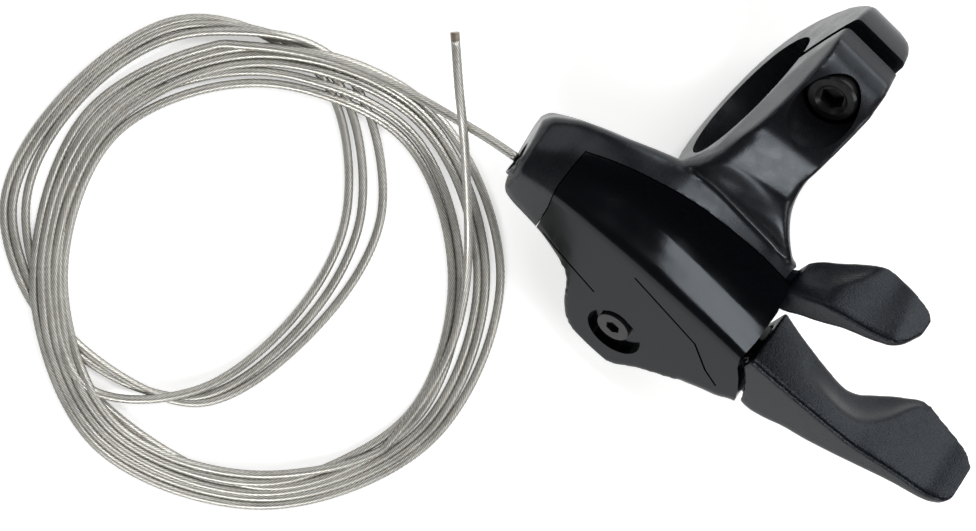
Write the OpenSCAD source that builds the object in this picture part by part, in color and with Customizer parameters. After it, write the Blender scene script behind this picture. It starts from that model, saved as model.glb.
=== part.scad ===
// Under-bar fork lockout lever: split bar clamp cast in one with the housing,
// glossy front cover, a long lock lever and a short release lever, and the
// bare inner cable that leaves the housing and lies in a loose coil.
// Frame: origin in the middle of the bar bore, +X along the bar towards the
// levers, +Y towards the clamp ears, +Z up. Millimetres.

/* [Bar clamp] */
// Diameter of the handlebar bore
bar_d = 22.2; // [22.0:0.1:22.4]
// Length of the bore along the bar
clamp_w = 11.6; // [11:0.1:12]
// Radial wall of the clamp ring below the bar
ring_wall = 4.0; // [3.8:0.1:4.1]
// Angle of the split above the Y axis
split_deg = 40; // [38:1:42]
// Width of the split between the ears
split_gap = 1.6; // [1.2:0.1:1.8]
// Distance of the clamp screw from the bore centre
screw_off = 15.3; // [15.2:0.1:15.5]
// Thread diameter of the clamp screw
screw_d = 4.0; // [3.8:0.1:4.0]

/* [Mechanism] */
// Radius of the cable groove on the spool
groove_r = 8.8; // [8.6:0.1:9.0]
// Diameter of the pivot bush
bush_d = 6.0; // [5.8:0.1:6.2]
// Thickness of the lock lever's steel arm
arm_t = 2.6; // [2.4:0.1:2.8]

/* [Inner cable] */
// Diameter of the stranded inner cable
cable_d = 1.2; // [1.1:0.1:1.2]

/* [Hidden] */

bar_r = bar_d / 2;
ring_r = bar_r + ring_wall;
floor_z = -15.1;
cov_gap = 0.06;
seam_t = -7.5;

// pivot frame: x along the bar, y across the cover facet, z out of it
piv = [4.2, -36.6, -4.4];
tilt = 52;
rel_pin = [3.0, 17.0];

module pv() { translate(piv) rotate([tilt, 0, 0]) children(); }
function pvp(p) = [piv[0] + p[0],
  piv[1] + p[1] * cos(tilt) - p[2] * sin(tilt),
  piv[2] + p[1] * sin(tilt) + p[2] * cos(tilt)];

// ---------- lofts through rounded polygons ----------
function unit2(v) = v / max(norm(v), 0.001);
// corners as [y, z, radius]; n points on each corner
function corner(p, c, q, n) =
  let (r = min(c[2], 0.49 * norm([p[0] - c[0], p[1] - c[1]]), 0.49 * norm([q[0] - c[0], q[1] - c[1]])),
       c2 = [c[0], c[1]],
       a = c2 + unit2([p[0] - c[0], p[1] - c[1]]) * r,
       b = c2 + unit2([q[0] - c[0], q[1] - c[1]]) * r)
  [for (i = [0:n - 1]) let (k = i / (n - 1)) a * (1 - k) * (1 - k) + 2 * k * (1 - k) * c2 + b * k * k];
function ring2(cs, n) = let (m = len(cs))
  [for (i = [0:m - 1]) each corner(cs[(i + m - 1) % m], cs[i], cs[(i + 1) % m], n)];
module skin(rings) {
  n = len(rings[0]);
  m = len(rings);
  polyhedron(
    points = [for (r = rings) each r],
    faces = concat(
      [[for (j = [0:n - 1]) j]],
      [for (i = [0:m - 2]) each [for (j = [0:n - 1]) each [
        [i * n + j, (i + 1) * n + j, i * n + (j + 1) % n],
        [i * n + (j + 1) % n, (i + 1) * n + j, (i + 1) * n + (j + 1) % n]]]],
      [[for (j = [0:n - 1]) m * n - 1 - j]]), convexity = 6);
}
// move every edge of a polygon of [y, z, r] inwards by d
function inset(cs, d) = let (m = len(cs)) [for (i = [0:m - 1])
  let (p = cs[(i + m - 1) % m], c = cs[i], q = cs[(i + 1) % m],
       u = unit2([c[0] - p[0], c[1] - p[1]]), v = unit2([q[0] - c[0], q[1] - c[1]]),
       nu = [-u[1], u[0]], nv = [-v[1], v[0]],
       k = 1 + nu * nv,
       o = (nu + nv) * d / k)
  [c[0] + o[0], c[1] + o[1], max(0.4, c[2] - d)]];

// housing outline at one place along the bar, counter-clockwise seen from +X
function facet_z(y) = -4.4 + (y + 36.6) * tan(tilt);
function env(x) = let (
    yc = lookup(x, [[-23.6, -29.2], [-16, -27.8], [-8, -27.2], [22, -26.0], [25, -25.9]]),
    yb = lookup(x, [[-23.6, -32.0], [-21, -33.6], [-13.5, -34.2], [-7, -35.6], [0, -36.8], [12, -36.8], [15.9, -36.2], [19.1, -34.7], [21.1, -33.8], [22.7, -32.6], [25, -32.2]]),
    yr = lookup(x, [[-23.6, -22.0], [-22, -20.4], [-19, -17.6], [-15, -15.8], [-10, -13.6], [-5, -12.0], [0, -11.6], [15, -11.8], [25, -13]]),
    zr = lookup(x, [[-23.6, 3.6], [-20, 6.0], [-15, 8.2], [-10, 10.2], [-5, 11.8], [0, 12.2], [14, 11.6], [25, 10]]),
    ym = lookup(x, [[-23.6, -25.6], [-16, -21.8], [-8, -19.6], [25, -19]]),
    zm = lookup(x, [[-23.6, 5.2], [-18, 8.6], [-10, 11.2], [0, 12.4], [12, 12.2], [20, 11.2], [25, 10.4]]),
    yk = lookup(x, [[-23.6, -21.8], [-18, -18.0], [-12, -15.4], [-6, -13.0], [0, -12.6], [25, -12.8]]),
    zk = lookup(x, [[-23.6, -4.5], [-16, -3], [-8, 2.0], [0, 2.6], [25, 2.6]]),
    z4 = lookup(x, [[-23.6, -6.5], [-17, -8.5], [-11, -13.6], [-8, floor_z], [25, floor_z]]))
  [[yb, facet_z(yb), 1.6],
   [min(yb + 2.0, -30.4), max(z4, facet_z(yb) - 8.0), 3.0],
   [min(yb + 6.0, -27.4), z4, 2.0],
   [-23.6, z4, 2.5],
   [yk, zk, 4.0],
   [yr, zr, 1.2],
   [ym, zm, 6.0],
   [yc, facet_z(yc), 1.6]];
env_x = [-22.4, -21.8, -20.8, -18.5, -16.2, -13.5, -10.5, -7.5, -4, 0, 5, 10, 15, 19, 22, 25];
// the left end face leans, so its rings are sheared a little
function lean(x, y) = x < -18.5 ? (x + 18.5) / 3.9 * (y + 27) * 0.2 : 0;
function env_ring(x, d) = [for (p = ring2(d > 0 ? inset(env(x), d) : env(x), 3)) [x + lean(x, p[0]), p[0], p[1]]];
module envelope(d = 0) {
  xs = d > 0 ? [for (x = env_x) if (x > -16) x] : env_x;
  x0 = env_x[0];
  s0 = d > 0 ? [] : [for (k = [1]) [for (p = env_ring(x0, 0)) [p[0] - 0.5, -27.3 + (p[1] + 27.3) * 0.86, -0.4 + (p[2] + 0.4) * 0.86]]];
  skin(concat(s0, [for (x = xs) env_ring(x, d)]));
}
// boss round the pivot, k scales its outline
module boss(k, t0, t1) { pv() translate([0, 0, t1]) linear_extrude(t0 - t1)
  polygon(k * [[-12, 1.95], [-11.2, 1.7], [-9.8, 0.2], [-8.4, -2.3], [-7.2, -4.7], [-5.2, -7.3], [-3.7, -8.4], [-1.9, -8.9], [0.2, -9.1],
    [2.7, -9], [4.2, -8.6], [5.2, -7.9], [6.2, -6.2], [7.5, -4.2], [9.3, -2.2], [11.7, 0.4], [12.2, 8], [-12, 8]]); }
module above_floor() { translate([-60, -80, floor_z]) cube([160, 120, 60]); }
// room in front of the seam, right of the cable block
module front_zone(e) {
  pv() intersection() {
    translate([e, 0, -20]) linear_extrude(50)
      polygon([[-22, 28], [-22, 22], [-21.7, 18.5], [-21.1, 15], [-19.6, 10.4], [-18.2, 4], [-16.4, -8], [-16, -40], [60, -40], [60, 60], [-28, 60]]);
    // the seam rises towards the cable block
    translate([0, 70, e]) rotate([90, 0, 0]) linear_extrude(140)
      polygon([[-30, -4.5], [-21.5, -4.7], [-18.8, -5.2], [-14.9, -5.7], [-11.3, -6.05], [-6.1, -6.6],
        [0.7, -7.2], [5, seam_t], [70, seam_t], [70, 30], [-30, 30]]);
  }
}
module cover_end() { // the cover stops on an arc round the pivot, then along the levers
  pv() translate([0, 0, -14]) linear_extrude(20)
    polygon([[-60, -60], [18.6, -60], [18.6, 7.4], [18.3, 8.2], [17.3, 10.1], [15.9, 12.2], [14.4, 14.0],
      [13.4, 16.0], [12.9, 19.4], [12.0, 23.0], [10.6, 26.5], [9.5, 30], [9.5, 60], [-60, 60]]);
}

// ---------- clamp and housing, one casting ----------
module clamp_profile() {
  polygon([[-3, -15.0], [3, -14.9], [8, -13.6], [12.5, -9.6], [16.2, -3.6], [18.6, 1.5],
    [19.9, 6.6], [19.7, 9.6], [17.8, 13.4], [16.0, 15.2], [13.8, 16.5], [10.5, 17.5], [5, 18.2],
    [0, 18.0], [-4.5, 16.6], [-8.5, 14.2], [-11.2, 12.1], [-14, 9], [-15, 0], [-12, -9]]);
}
module clamp_block() {
  intersection() {
    union() {
      translate([-clamp_w / 2, 0, 0]) rotate([90, 0, 90]) cylinder(r = ring_r, h = clamp_w, $fn = 96);
      translate([-clamp_w / 2, 0, 0]) rotate([90, 0, 90]) linear_extrude(clamp_w) clamp_profile();
    }
    translate([0, 0, -20]) linear_extrude(50) polygon([[-5.8, -20], [5.8, -20], [5.8, 2], [5.1, 9], [4.4, 15],
      [4.2, 18.2], [3.2, 19.8], [-2.6, 20.2], [-4.2, 19.2], [-5.2, 14], [-5.7, 8], [-5.8, 2]]);
    union() {
      translate([-8, -16, -16]) cube([16, 38, 27.3]);
      // sides lean inwards above the bore
      rotate([90, 0, 0]) translate([0, 0, -22]) linear_extrude(38)
        polygon([[-5.8, 11], [5.8, 11], [5.0, 19], [-4.6, 19]]);
    }
  }
}
module neck() { // arm that runs from the ring to the housing rim
  skin([for (k = [0:5]) let (u = k / 5, y = 2 - 14.5 * u,
      w0 = -4.5 - 2.2 * u * u * u, w1 = 4.9 + 8.6 * u * u * u,
      z1 = 17.6 - 1.2 * u - 4.6 * u * u, z0 = 11.6 - 3.5 * u)
    [[w0 - 0.6, y, z0], [w1 + 0.8, y, z0], [w1, y, z1], [w0, y, z1]]]);
}
screw_e = [cos(split_deg), sin(split_deg)];
screw_dv = [-sin(split_deg), cos(split_deg)];
// frame with its Z along the clamp screw, origin level with the split
module screw_frame() {
  translate([0, screw_off * screw_e[0], screw_off * screw_e[1]]) rotate([split_deg, 0, 0]) children();
}
module cavity() {
  pv() difference() {
    translate([0, 0, -12.5]) linear_extrude(20)
      polygon([[-13, 3], [-6, 0.6], [-5.5, -3], [5.5, -3], [9.5, 0.8], [16, 2], [30, 6], [30, 26],
        [9.4, 25.4], [2, 23], [1.6, 20], [-11, 17]]);
    // post for the release pin
    translate([rel_pin[0], rel_pin[1], -12.6]) cylinder(r = 2.6, h = 1.2, $fn = 32);
  }
  pv() translate([0, 0, -9.2]) cylinder(r = 5.7, h = 12, $fn = 48);
  pv() translate([0, 0, -11.3]) cylinder(r = 4.1, h = 12, $fn = 48);
}
module clamp_body() {
  color([0.07, 0.07, 0.08]) difference() {
    union() {
      clamp_block();
      difference() {
        union() {
          intersection() {
            union() { envelope(0); boss(1, 0, -12); }
            above_floor();
          }
          neck();
        }
        // front half belongs to the cover; the right end stops at the lever
        front_zone(-0.05);
        translate([14.7, -60, -40]) cube([40, 80, 80]);
        cavity();
        // room for both levers at the right end
        pv() translate([9.2, -6, -12.5]) cube([20, 32.2, 30]);
      }
    }
    // bar bore
    translate([-30, 0, 0]) rotate([90, 0, 90]) cylinder(r = bar_r, h = 60, $fn = 96);
    // split
    rotate([split_deg, 0, 0]) translate([-20, 5, -split_gap / 2]) cube([40, 30, split_gap]);
    // screw: counterbore, clearance hole and thread
    screw_frame() {
      translate([0, 0, 3.6]) cylinder(r = 4.1, h = 20, $fn = 48);
      cylinder(r = screw_d / 2 + 0.2, h = 10, $fn = 48);
      translate([0, 0, -9]) cylinder(r = screw_d / 2, h = 10, $fn = 48);
    }
    // pivot: bush seat and nut pocket
    pv() translate([0, 0, -20]) cylinder(r = 1.6, h = 30, $fn = 32);
    pv() translate([0, 0, -14.2]) cylinder(r = 3.3, h = 1.2, $fn = 6);
    // release pin hole
    pv() translate([rel_pin[0], rel_pin[1], -14.2]) cylinder(r = 1.0, h = 8, $fn = 32);
    // cable stop: counterbore and cable way
    translate([-10, 0, 0]) cable_axis() cylinder(r = 1.0, h = 14, $fn = 32);
    cable_axis() translate([0, 0, -1]) cylinder(r = 2.5, h = 6.0, $fn = 48);
    cable_axis() cylinder(r = 1.0, h = 14, $fn = 32);
    // cover screw threads
    for (p = cover_pos) pv() translate([p[0], p[1], -12]) cylinder(r = 0.8, h = 12, $fn = 32);
  }
}
cover_pos = [[-15.2, 4.9], [8.2, -0.4]];
// frame at the cable exit with its Z pointing into the housing along the cable
exit_p = [-22.9, -28.5, 0.9];
module cable_axis() { translate([-22.9, -28.5, 0.9]) rotate([0, 90, 0]) children(); }

module clamp_screw() {
  color([0.12, 0.12, 0.13]) screw_frame() difference() {
    union() {
      translate([0, 0, 3.6]) cylinder(r = 3.5, h = 3.7, $fn = 48);
      translate([0, 0, 7.3]) cylinder(r1 = 3.5, r2 = 3.2, h = 0.3, $fn = 48);
      translate([0, 0, -8.4]) cylinder(r = screw_d / 2, h = 12.2, $fn = 48);
    }
    translate([0, 0, 5.4]) cylinder(r = 1.75, h = 4, $fn = 6);
    translate([0, 0, 7.2]) cylinder(r1 = 1.8, r2 = 2.4, h = 0.5, $fn = 48);
  }
}

module front_cover() {
  color([0.03, 0.03, 0.04]) difference() {
    intersection() {
      union() { envelope(0); boss(1, 0, -12); }
      front_zone(cov_gap);
      cover_end();
      above_floor();
    }
    difference() {
      union() { envelope(1.7); boss(0.8, -1.7, -12); }
      // posts for the cover screws
      for (p = cover_pos) pv() translate([p[0], p[1], -12]) cylinder(r = 1.7, h = 14, $fn = 32);
      pv() translate([-30, -20, -1.7]) cube([60, 60, 4]);
    }
    // mouth for the lock lever and the release lever
    pv() translate([10.6, 3.8, -9]) cube([20, 14.6, 7.3]);
    pv() translate([15.2, -6, -9]) cube([20, 12, 7.3]);
    // shallow recess and hole of the pivot screw
    pv() difference() {
      translate([0.8, -1.3, -1.2]) cylinder(r = 4.3, h = 4, $fn = 48);
      translate([0, 0, -2]) cylinder(r = 2.8, h = 1.1, $fn = 48);
    }
    pv() translate([0, 0, -3]) cylinder(r = 1.6, h = 5, $fn = 32);
    // cable way in the left wall
    cable_axis() cylinder(r = 1.0, h = 20, $fn = 32);
    for (p = cover_pos) pv() translate([p[0], p[1], -12]) cylinder(r = 0.8, h = 9.0, $fn = 32);
  }
}
module cover_screws() {
  color([0.3, 0.3, 0.32]) for (p = cover_pos) pv() translate([p[0], p[1], 0]) {
    translate([0, 0, -9.4]) cylinder(r = 0.8, h = 5.6, $fn = 32);
  }
}
module pivot_screw() {
  color([0.1, 0.1, 0.11]) pv() difference() {
    union() {
      translate([0, 0, -0.9]) cylinder(r = 2.5, h = 1.3, $fn = 48);
      translate([0, 0, -13.8]) cylinder(r = 1.5, h = 13, $fn = 32);
    }
    translate([0, 0, -0.5]) cylinder(r = 1.15, h = 2, $fn = 6);
  }
}
module pivot_bush() {
  color([0.72, 0.6, 0.3]) pv() difference() {
    translate([0, 0, -12.5]) cylinder(r = bush_d / 2, h = 10.8, $fn = 48);
    translate([0, 0, -13]) cylinder(r = 1.52, h = 12, $fn = 32);
  }
}
module pivot_nut() {
  color([0.5, 0.5, 0.52]) pv() translate([0, 0, -14.1]) difference() {
    cylinder(r = 3.1, h = 1.05, $fn = 6);
    translate([0, 0, -1]) cylinder(r = 1.5, h = 4, $fn = 32);
  }
}
module washer(t) {
  pv() translate([0, 0, t]) difference() {
    cylinder(r = 4.6, h = 0.35, $fn = 48);
    translate([0, 0, -1]) cylinder(r = bush_d / 2 + 0.04, h = 3, $fn = 48);
  }
}
module outer_washer() { color([0.8, 0.8, 0.82]) washer(-2.1); }
module inner_washer() { color([0.8, 0.8, 0.82]) washer(-8.75); }
module cable_stop() {
  color([0.35, 0.35, 0.37]) cable_axis() difference() {
    translate([0, 0, 0.3]) cylinder(r = 2.48, h = 4.68, $fn = 48);
    translate([0, 0, 0.1]) cylinder(r = 2.1, h = 3.0, $fn = 48);
    translate([0, 0, -1]) cylinder(r = 0.8, h = 10, $fn = 32);
  }
}
module release_pin() {
  color([0.6, 0.6, 0.62]) pv() translate([rel_pin[0], rel_pin[1], -14.0]) cylinder(r = 0.98, h = 9.6, $fn = 32);
}
module pin_clip() {
  color([0.5, 0.5, 0.52]) pv() translate([rel_pin[0], rel_pin[1], -5.2]) difference() {
    cylinder(r = 2.1, h = 0.4, $fn = 32);
    translate([0, 0, -1]) cylinder(r = 0.98, h = 3, $fn = 32);
  }
}

// ---------- lock lever ----------
function lk_top(x) = lookup(x, [[14.7, 17.0], [20, 17.5], [28, 18.5], [32, 19.1], [36, 20.5], [40, 21.9], [43, 22.8], [45, 23.9], [46.9, 24.8]]);
function lk_bot(x) = lookup(x, [[15, 7.4], [18, 6.9], [20.5, 6.8], [23, 7.8], [25.6, 9.6], [28.6, 11.0], [32, 13.0], [36, 15.6], [40, 18.2], [44, 20.3], [46.9, 22.6]]);
function lk_back(x) = lookup(x, [[15, -10.6], [18.6, -9.4], [24, -8.1], [28, -7.5], [30, -8.1], [32, -9.7], [35, -12.0], [37.5, -13.2], [40.5, -12.1], [43, -11.2], [45, -9.9], [46.9, -7.6]]);
function lk_front(x) = lookup(x, [[15, -0.5], [44.5, -0.5], [46, -0.9], [46.9, -2.2]]);
lk_x = [14.7, 18, 21, 24, 28, 31, 34, 37, 40, 43, 45, 46.2, 46.8];
module lock_lever() {
  color([0.16, 0.17, 0.19]) difference() {
    pv() skin([for (x = lk_x) [for (p = ring2([
        [lk_bot(x), lk_front(x), 1.0], [lk_bot(x) + 0.6, lk_back(x) + 1.2, 1.2],
        [lk_top(x), lk_back(x), 1.2], [lk_top(x), lk_front(x), 0.7]], 3)) [x, p[0], p[1]]]]);
    // clear of the cover's face, and open inside for the arm
    pv() translate([0, 0, -2.2]) cylinder(r = 20.6, h = 6, $fn = 96);
    pv() translate([0, 0, -20]) cylinder(r = 18.2, h = 30, $fn = 96);
    // socket that takes the steel arm
    pv() translate([10, 8.8, -8.4]) cube([16, 6.6, arm_t + 0.02]);
    for (p = arm_pin_pos) pv() translate([p[0], p[1], -9.6]) cylinder(r = 0.8, h = 5, $fn = 32);
  }
}
arm_pin_pos = [[21.2, 10.6], [22.8, 13.4]];
module lever_arm() {
  color([0.55, 0.55, 0.57]) pv() translate([0, 0, -8.38]) difference() {
    linear_extrude(arm_t) difference() {
      union() {
        circle(r = 5.2, $fn = 64);
        polygon([[0, 5], [4.6, 2.2], [16, 8.9], [25.8, 8.9], [25.8, 15.3], [17, 15.3], [8, 12], [6.5, 8.8], [4, 10.2], [0, 11], [-5.0, 9.8], [-7, 8.5], [-5.1, 1]]);
      }
      circle(r = bush_d / 2 + 0.05, $fn = 64);
      // notch that the pawl drops into
      polygon([[-5.1, 12], [-3.2, 8.8], [-1.6, 12]]);
    }
    for (p = arm_pin_pos) translate([p[0], p[1], -1]) cylinder(r = 0.78, h = 5, $fn = 32);
    // holes for the drive pins of the spool and the spring leg
    translate([3.6, 3.0, -1]) cylinder(r = 0.6, h = 5, $fn = 32);
    translate([-3.0, 3.8, -1]) cylinder(r = 0.6, h = 5, $fn = 32);
  }
}
module arm_pins() {
  color([0.6, 0.6, 0.62]) pv() {
    for (p = arm_pin_pos) translate([p[0], p[1], -9.5]) cylinder(r = 0.76, h = 4.8, $fn = 32);
    for (p = [[3.6, 3.0], [-3.0, 3.8]]) translate([p[0], p[1], -8.3]) cylinder(r = 0.58, h = 4.6, $fn = 32);
  }
}
module cable_spool() {
  color([0.75, 0.76, 0.78]) pv() difference() {
    intersection() {
      translate([0, 0, -5.5]) rotate_extrude($fn = 96)
        polygon([[bush_d / 2 + 0.05, 0], [10, 0], [10, 0.9], [groove_r - 0.6, 1.1], [groove_r - 0.6, 2.3],
          [10, 2.5], [10, 3.35], [bush_d / 2 + 0.05, 3.35]]);
      linear_extrude(30, center = true) union() {
        circle(r = 5.4, $fn = 64);
        polygon([[0, 0], [13, 8.4], [14, 14], [-14, 14], [-14, 8]]);
      }
    }
    // seat of the cable head, opening along the groove
    translate([6.6, 6.3, -5.0]) cylinder(r = 1.45, h = 2.3, $fn = 32);
    for (p = [[3.6, 3.0], [-3.0, 3.8]]) translate([p[0], p[1], -6]) cylinder(r = 0.6, h = 2.6, $fn = 32);
  }
}
module cable_nipple() {
  color([0.7, 0.7, 0.72]) pv() translate([6.6, 6.3, -4.9]) cylinder(r = 1.4, h = 2.1, $fn = 32);
}
// wrap in the groove, from the cable head to the tangent point
wrap_r = groove_r - 0.6 + cable_d / 2 + 0.05;
module wrapped_cable() {
  color([0.62, 0.6, 0.57]) pv() translate([0, 0, -3.8]) rotate([0, 0, 54.5])
    rotate_extrude(angle = 34, $fn = 96) translate([wrap_r, 0]) circle(r = cable_d / 2, $fn = 24);
}
tan_p = pvp([0, wrap_r, -3.8]);
function seg_mid(a, b) = (a + b) / 2;
module rod(a, b, d) {
  v = b - a;
  l = norm(v);
  translate(a) rotate([0, acos(v[2] / l), atan2(v[1], v[0])]) cylinder(r = d / 2, h = l, $fn = 24);
}
in_a = [-19.1, -28.5, 0.9];
module cable_inside() {
  color([0.62, 0.6, 0.57]) rod(exit_p + [0.4, 0, 0], tan_p + (exit_p - tan_p) * 0.03, cable_d);
}
module coil_spring(r, wire, turns, h) {
  n = 14;
  m = round(turns * n);
  skin([for (i = [0:m]) let (a = 360 * i / n, z = h * i / m)
    [for (j = [0:5]) let (b = -60 * j) [(r + wire * cos(b)) * cos(a), (r + wire * cos(b)) * sin(a), z + wire * sin(b)]]]);
}
module return_spring() {
  color([0.7, 0.7, 0.72]) pv() translate([0, 0, -10.9]) coil_spring(3.6, 0.35, 2, 1.7);
}

// ---------- release lever ----------
function rl_fs(x) = lookup(x, [[11.2, 26.6], [13, 29.0], [14.5, 31.4], [16.3, 32.4], [19.3, 33.6], [22, 34.9], [24, 36.0], [26.6, 36.2]]);
function rl_ft(x) = lookup(x, [[11.2, -8.8], [13, -7.4], [14.5, -6.2], [16.3, -5.6], [23.5, -5.6], [25, -6.6], [26, -8.6], [26.6, -10.0]]);
function rl_bs(x) = lookup(x, [[11.2, 28.0], [14, 31.2], [17, 33.0], [20, 34.2], [23, 35.8], [26.6, 36.4]]);
function rl_bt(x) = lookup(x, [[11.2, -11.0], [13.3, -12.2], [15.5, -14.4], [17, -15.4], [18.5, -15.8], [21, -15.1], [23, -14.1], [25.3, -13.2], [26.6, -11.8]]);
function rl_th(x) = lookup(x, [[11.2, 6.5], [13, 5.6], [15, 4.4], [18, 3.2], [23, 2.6], [26.6, 1.6]]);
rl_x = [11.2, 12.5, 14, 15.5, 17.5, 19.5, 22, 24, 25.6, 26.5];
module release_lever() {
  color([0.16, 0.17, 0.19]) pv() {
    skin([for (x = rl_x) [for (p = ring2([
        [rl_fs(x) - rl_th(x), rl_ft(x) - 0.3, 0.9], [rl_bs(x) - rl_th(x), rl_bt(x) + 0.8, 0.9],
        [rl_bs(x), rl_bt(x), 0.9], [rl_fs(x), rl_ft(x), 0.7]], 3)) [x, p[0], p[1]]]]);
    difference() {
      translate([0, 0, -11.2]) linear_extrude(2.4)
        difference() {
          union() {
            translate(rel_pin) circle(r = 2.9, $fn = 48);
            polygon([[3.2, 14.2], [9.2, 17.6], [12.6, 20.6], [12.8, 25], [11.4, 26.2], [8.8, 23.2], [3, 19.9]]);
          }
          translate(rel_pin) circle(r = 1.03, $fn = 48);
          translate([7.0, 18.9]) circle(r = 0.6, $fn = 32);
        }
    }
  }
}
module latch_pawl() {
  color([0.5, 0.5, 0.52]) pv() translate([0, 0, -8.3]) linear_extrude(2.4) difference() {
    union() {
      translate(rel_pin) circle(r = 2.5, $fn = 48);
      polygon([[3.4, 14.6], [8.2, 17.4], [7.6, 20.2], [2.6, 19.4], [-0.6, 14.4], [-0.9, 11.6], [0.3, 11.4], [1.8, 14.0]]);
    }
    translate(rel_pin) circle(r = 1.02, $fn = 48);
    translate([7.0, 18.9]) circle(r = 0.6, $fn = 32);
  }
}
module pawl_pin() {
  color([0.6, 0.6, 0.62]) pv() translate([7.0, 18.9, -11.0]) cylinder(r = 0.58, h = 5.0, $fn = 32);
}
module release_spring() {
  color([0.7, 0.7, 0.72]) pv() translate([rel_pin[0], rel_pin[1], -12.15])
    coil_spring(3.15, 0.25, 1.6, 0.7);
}

// ---------- inner cable outside the housing ----------
function catmull(p, i, k) = let (a = p[max(i - 1, 0)], b = p[i], c = p[i + 1], d = p[min(i + 2, len(p) - 1)])
  0.5 * ((2 * b) + (c - a) * k + (2 * a - 5 * b + 4 * c - d) * k * k + (3 * b - a - 3 * c + d) * k * k * k);
function route(p, n) = concat([for (i = [0:len(p) - 2]) for (k = [0:n - 1]) catmull(p, i, k / n)], [p[len(p) - 1]]);
module tube(pts, d) {
  m = len(pts);
  skin([for (i = [0:m - 1]) let (
      t = pts[min(i + 1, m - 1)] - pts[max(i - 1, 0)],
      u = t / norm(t),
      s0 = cross([0, 0, 1], u),
      s = s0 / max(norm(s0), 0.001),
      w = cross(u, s))
    [for (j = [0:7]) let (a = 22.5 + 45 * j) pts[i] + (s * cos(a) + w * sin(a)) * d / 2]]);
}
lead_pts = [[-22.9, -28.5, 0.9], [-26.2, -29.2, -1.0], [-30.4, -30.4, -4.0], [-34.4, -31.6, -6.4],
  [-39.0, -32.8, -8.6], [-44.0, -34.1, -10.0], [-48.0, -35.3, -10.25]];
coil_c = [-36.6, -67.4];
free_pts = [[-17.4, -45.8, -10.28], [-20.6, -40.6, -9.6], [-24.9, -36.3, -7.2], [-28.3, -33.1, -4.4],
  [-31.6, -30.2, -2.2], [-35.0, -27.3, -1.2], [-38.0, -24.6, -0.7], [-40.0, -22.8, -0.5]];
module cable_lead() { color([0.62, 0.6, 0.57]) tube(route(lead_pts, 2), cable_d); }
module cable_coil() {
  color([0.62, 0.6, 0.57]) translate([coil_c[0], coil_c[1], floor_z]) rotate_extrude($fn = 96)
    polygon([[30.2, 0.02], [37.6, 0.02], [37.6, 4.2], [30.2, 4.2]]);
}
module cable_free_end() { color([0.62, 0.6, 0.57]) tube(route(free_pts, 2), cable_d); }
tip_dir = free_pts[7] - free_pts[6];
module cable_tip() {
  color([0.75, 0.74, 0.72]) rod(free_pts[7] + tip_dir / norm(tip_dir) * 0.05, free_pts[7] + tip_dir / norm(tip_dir) * 1.2, cable_d + 0.1);
}

clamp_body();
clamp_screw();
front_cover();
cover_screws();
pivot_screw();
pivot_bush();
pivot_nut();
outer_washer();
inner_washer();
cable_stop();
release_pin();
pin_clip();
lock_lever();
lever_arm();
arm_pins();
cable_spool();
cable_nipple();
wrapped_cable();
cable_inside();
return_spring();
release_lever();
latch_pawl();
pawl_pin();
release_spring();
cable_lead();
cable_coil();
cable_free_end();
cable_tip();
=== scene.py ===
import bpy, bmesh, math
import numpy as np
from mathutils import Matrix, Vector


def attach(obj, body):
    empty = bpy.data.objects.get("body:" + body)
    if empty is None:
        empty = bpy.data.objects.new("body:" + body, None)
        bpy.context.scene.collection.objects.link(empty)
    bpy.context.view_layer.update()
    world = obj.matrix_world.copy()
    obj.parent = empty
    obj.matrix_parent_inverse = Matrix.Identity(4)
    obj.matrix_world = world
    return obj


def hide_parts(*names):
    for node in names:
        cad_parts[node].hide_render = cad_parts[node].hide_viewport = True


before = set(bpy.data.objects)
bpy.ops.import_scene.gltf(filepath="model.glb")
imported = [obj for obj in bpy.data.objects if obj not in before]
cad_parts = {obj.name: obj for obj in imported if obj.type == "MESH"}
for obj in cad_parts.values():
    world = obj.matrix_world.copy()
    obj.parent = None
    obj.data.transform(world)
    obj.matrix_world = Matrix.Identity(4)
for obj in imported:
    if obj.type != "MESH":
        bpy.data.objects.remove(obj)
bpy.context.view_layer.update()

MM = 0.001
scene = bpy.context.scene
coll = scene.collection

# ------------------------------------------------------------------ camera
cam_data = bpy.data.cameras.new("cam")
cam = bpy.data.objects.new("cam", cam_data)
coll.objects.link(cam)
cam_at = Vector((-60.0, 0.0, 345.0))
fwd = (Vector((-13.9, -43.4, -10.0)) - cam_at).normalized()
right = Vector((0.72, 0.69, 0.0))
right = (right - fwd * right.dot(fwd)).normalized()
down = fwd.cross(right)
m = Matrix.Identity(4)
for i in range(3):
    m[i][0], m[i][1], m[i][2] = right[i], -down[i], -fwd[i]
    m[i][3] = cam_at[i] * MM
cam.matrix_world = m
cam_data.lens = 93.02
cam_data.sensor_width = 36.0
cam_data.clip_start, cam_data.clip_end = 0.02, 20.0
scene.camera = cam

# ------------------------------------------------------------------ helpers
def smooth01(t):
    t = min(max(t, 0.0), 1.0)
    return t * t * (3 - 2 * t)

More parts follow.
